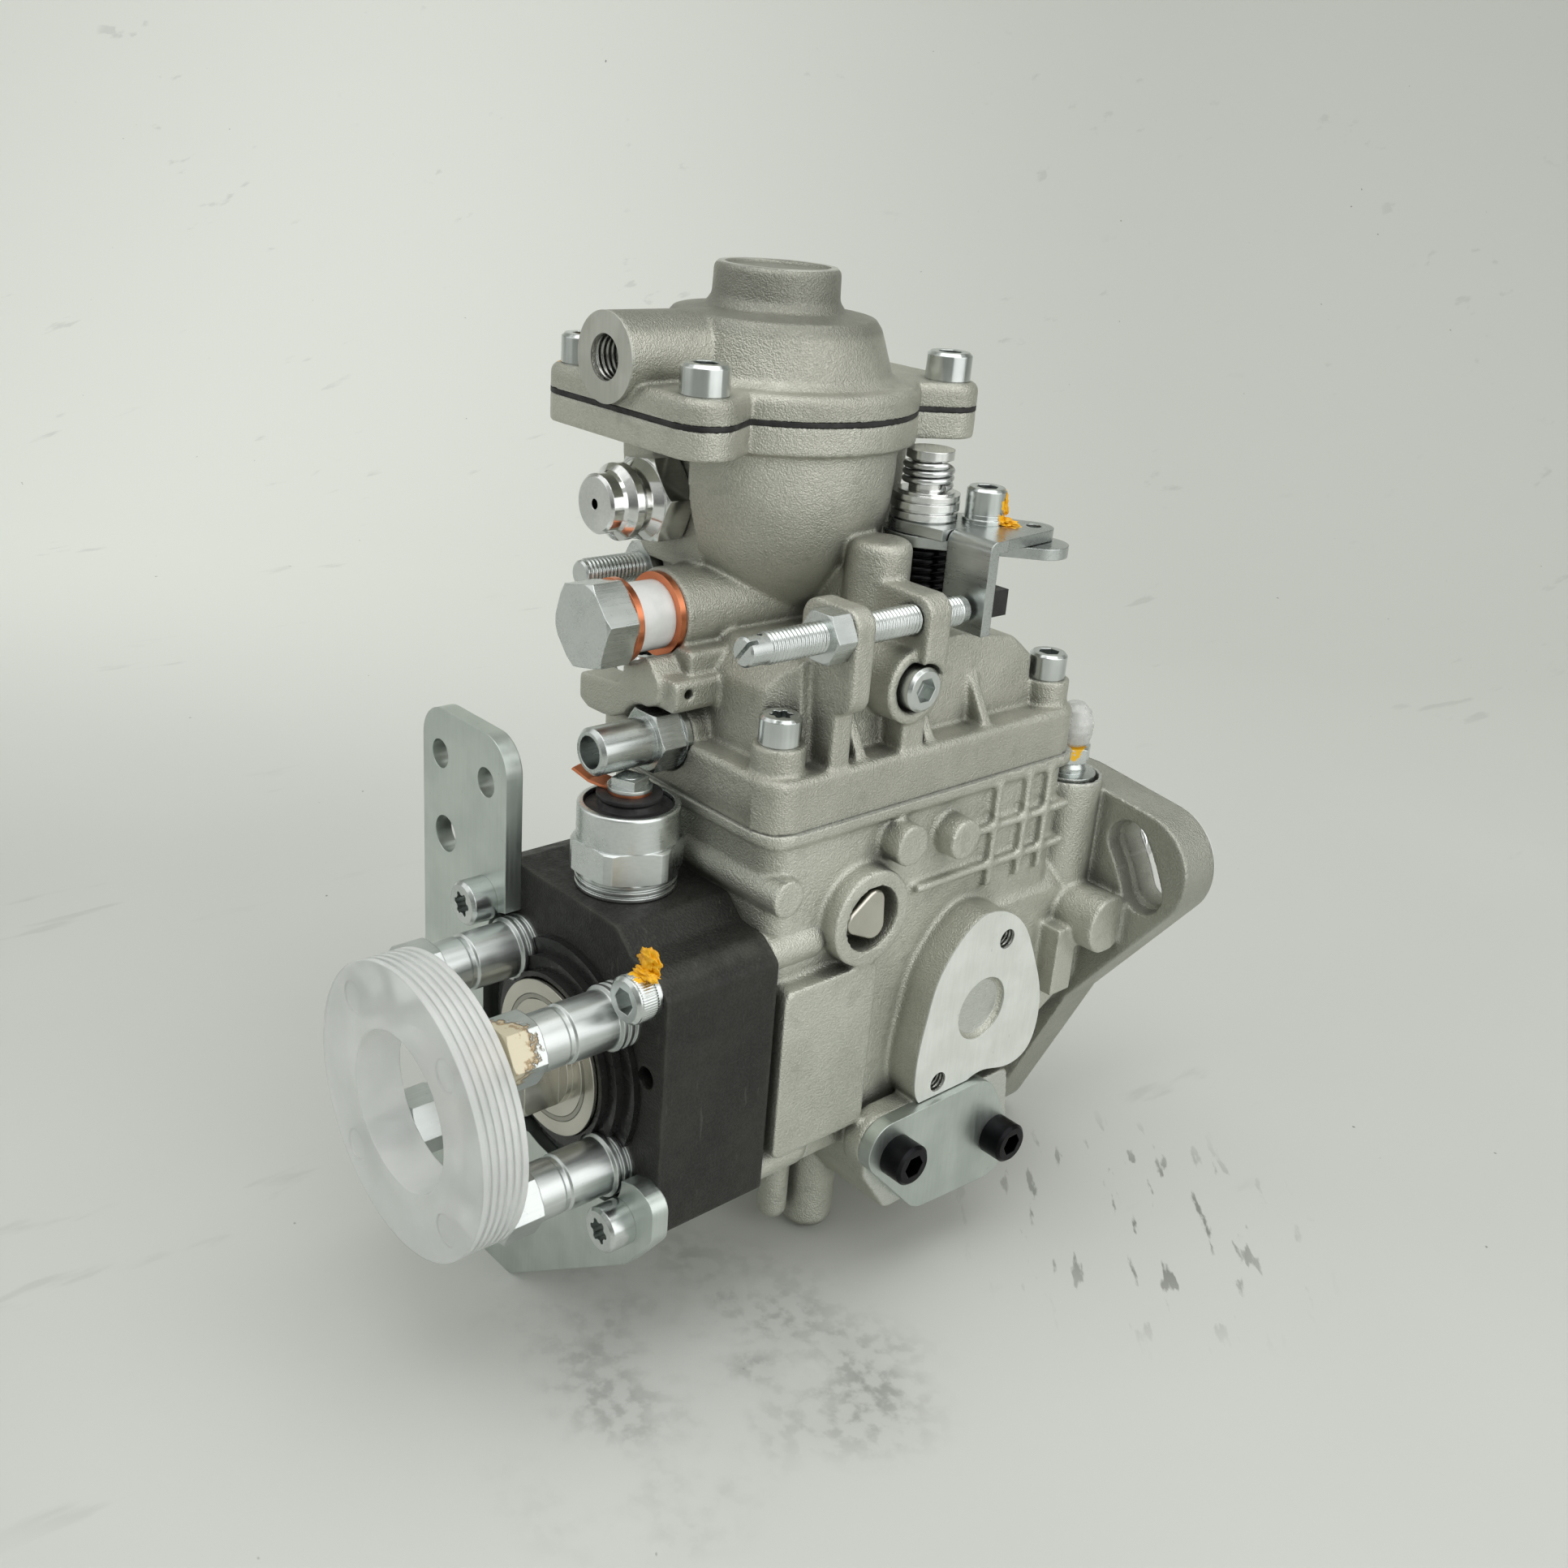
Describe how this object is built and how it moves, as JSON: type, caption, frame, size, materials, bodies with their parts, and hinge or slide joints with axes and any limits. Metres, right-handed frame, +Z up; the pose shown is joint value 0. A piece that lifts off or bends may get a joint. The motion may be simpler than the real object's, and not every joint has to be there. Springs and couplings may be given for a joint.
{
  "type": "diesel injection pump",
  "caption": "Rotary distributor diesel injection pump with cast housing, governor cover, boost unit, throttle levers, shut-off solenoid, capped outlets and keyed drive shaft.",
  "frame": {"origin": "pump axis at the seat of the mounting flange", "axes": "+Y along the drive shaft towards its driven end, +Z up, +X towards the side with the machined accessory face"},
  "size_m": [0.1156, 0.2424, 0.2256],
  "materials": {
    "cast_aluminium": "sand cast, matt",
    "black_cast": "black, fine grained",
    "zinc_steel": "zinc plated",
    "bright_steel": "ground and hardened",
    "plain_steel": "machined",
    "piston_alloy": "turned",
    "black_steel": "black oxide",
    "spring_steel": "oil tempered",
    "copper": "soft copper",
    "black_rubber": "moulded",
    "black_plastic": "moulded",
    "white_plastic": "moulded",
    "milky_plastic": "milky, slightly see-through"
  },
  "bodies": {
    "pump_body": {"adjusting_screws": "zinc_steel", "banjo_bolt": "zinc_steel", "banjo_sleeve": "white_plastic", "banjo_washers": "copper", "boost_diaphragm": "black_rubber", "boost_fitting": "bright_steel", "boost_lid": "cast_aluminium", "boost_lid_screws": "zinc_steel", "boost_spring": "spring_steel", "central_plug": "zinc_steel", "cover_screws": "zinc_steel", "delivery_valve_holders": "bright_steel", "delivery_valve_springs": "spring_steel", "distributor_head": "black_cast", "governor_cover": "cast_aluminium", "governor_shaft": "bright_steel", "head_screws": "black_steel", "inlet_cap": "milky_plastic", "inlet_fitting": "zinc_steel", "lock_nuts": "zinc_steel", "mounting_bracket": "zinc_steel", "plunger_spring": "spring_steel", "pump_housing": "cast_aluminium", "return_fitting": "zinc_steel", "shaft_seal": "black_rubber", "side_plug": "zinc_steel", "solenoid_body": "zinc_steel", "solenoid_boot": "black_rubber", "solenoid_terminal": "zinc_steel", "terminal_clip": "copper", "throttle_springs": "black_steel", "timing_cover_screws": "black_steel", "timing_covers": "zinc_steel", "timing_spring": "spring_steel", "transport_cap": "milky_plastic", "vane_pump_ring": "plain_steel"},
    "drive_line": {"drive_shaft": "bright_steel", "shaft_key": "bright_steel", "governor_drive_gear": "plain_steel", "vane_rotor": "bright_steel", "vanes": "bright_steel"},
    "plunger_group": {"plunger": "bright_steel", "cam_plate": "bright_steel"},
    "governor_weights": {"flyweight_cage": "plain_steel", "flyweights": "plain_steel"},
    "sliding_sleeve": {"governor_sleeve": "bright_steel"},
    "governing_lever": {"governor_lever": "plain_steel"},
    "spill_ring": {"control_spool": "bright_steel"},
    "throttle": {"throttle_shaft": "zinc_steel", "bent_lever": "zinc_steel", "lower_lever": "zinc_steel", "clamp_screw": "zinc_steel", "clamp_washers": "zinc_steel", "stop_bumper": "black_plastic"},
    "boost_control": {"boost_pin": "bright_steel"},
    "shut_off": {"solenoid_armature": "bright_steel"},
    "timing_ring": {"roller_ring": "plain_steel", "cam_rollers": "bright_steel"},
    "timing_slide": {"timing_piston": "piston_alloy"},
    "outlet_valves": {"delivery_valves": "bright_steel"}
  },
  "joints": [
    {"name": "drive_spin", "type": "hinge", "parent": "pump_body", "child": "drive_line", "pos_m": [0, 0, 0], "axis": [0, 1, 0], "continuous": true},
    {"name": "plunger_stroke", "type": "slide", "parent": "drive_line", "child": "plunger_group", "axis": [0, 1, 0], "range_m": [-0.0022, 0], "deforming": ["plunger_spring"]},
    {"name": "governor_spin", "type": "hinge", "parent": "pump_body", "child": "governor_weights", "pos_m": [-0.007, -0.078, 0.0334], "axis": [0, 1, 0], "continuous": true},
    {"name": "sleeve_slide", "type": "slide", "parent": "governor_weights", "child": "sliding_sleeve", "axis": [0, 1, 0], "range_m": [-0.0015, 0]},
    {"name": "lever_swing", "type": "hinge", "parent": "pump_body", "child": "governing_lever", "pos_m": [0, -0.1025, 0.024], "axis": [1, 0, 0], "range_deg": [0, 9.2]},
    {"name": "spill_ring_slide", "type": "slide", "parent": "pump_body", "child": "spill_ring", "axis": [0, 1, 0], "range_m": [0, 0.0024]},
    {"name": "throttle_turn", "type": "hinge", "parent": "pump_body", "child": "throttle", "pos_m": [0.0095, -0.0646, 0.1], "axis": [0, 0, 1], "range_deg": [0, 40], "stiffness_Nm_per_rad": 0.05},
    {"name": "boost_stroke", "type": "slide", "parent": "pump_body", "child": "boost_control", "axis": [0, 0, 1], "range_m": [-0.004, 0], "stiffness_N_per_m": 1000, "deforming": ["boost_spring", "boost_diaphragm"]},
    {"name": "armature_lift", "type": "slide", "parent": "pump_body", "child": "shut_off", "axis": [0, 0, 1], "range_m": [0, 0.0015]},
    {"name": "timing_ring_turn", "type": "hinge", "parent": "pump_body", "child": "timing_ring", "pos_m": [0, -0.064, 0], "axis": [0, 1, 0], "range_deg": [-6.6, 6.6]},
    {"name": "timing_stroke", "type": "slide", "parent": "pump_body", "child": "timing_slide", "axis": [1, 0, 0], "range_m": [-0.004, 0.004], "deforming": ["timing_spring"]},
    {"name": "outlet_valve_lift", "type": "slide", "parent": "pump_body", "child": "outlet_valves", "axis": [0, -1, 0], "range_m": [0, 0.0018], "deforming": ["delivery_valve_springs"]}
  ],
  "couplings": [
    {"joint": "governor_spin", "follows": "drive_spin", "ratio": -1.6},
    {"joint": "lever_swing", "follows": "sleeve_slide", "rad_per_m": -106},
    {"joint": "spill_ring_slide", "follows": "sleeve_slide", "ratio": -1.57},
    {"joint": "timing_ring_turn", "follows": "timing_stroke", "rad_per_m": -28.2}
  ]
}
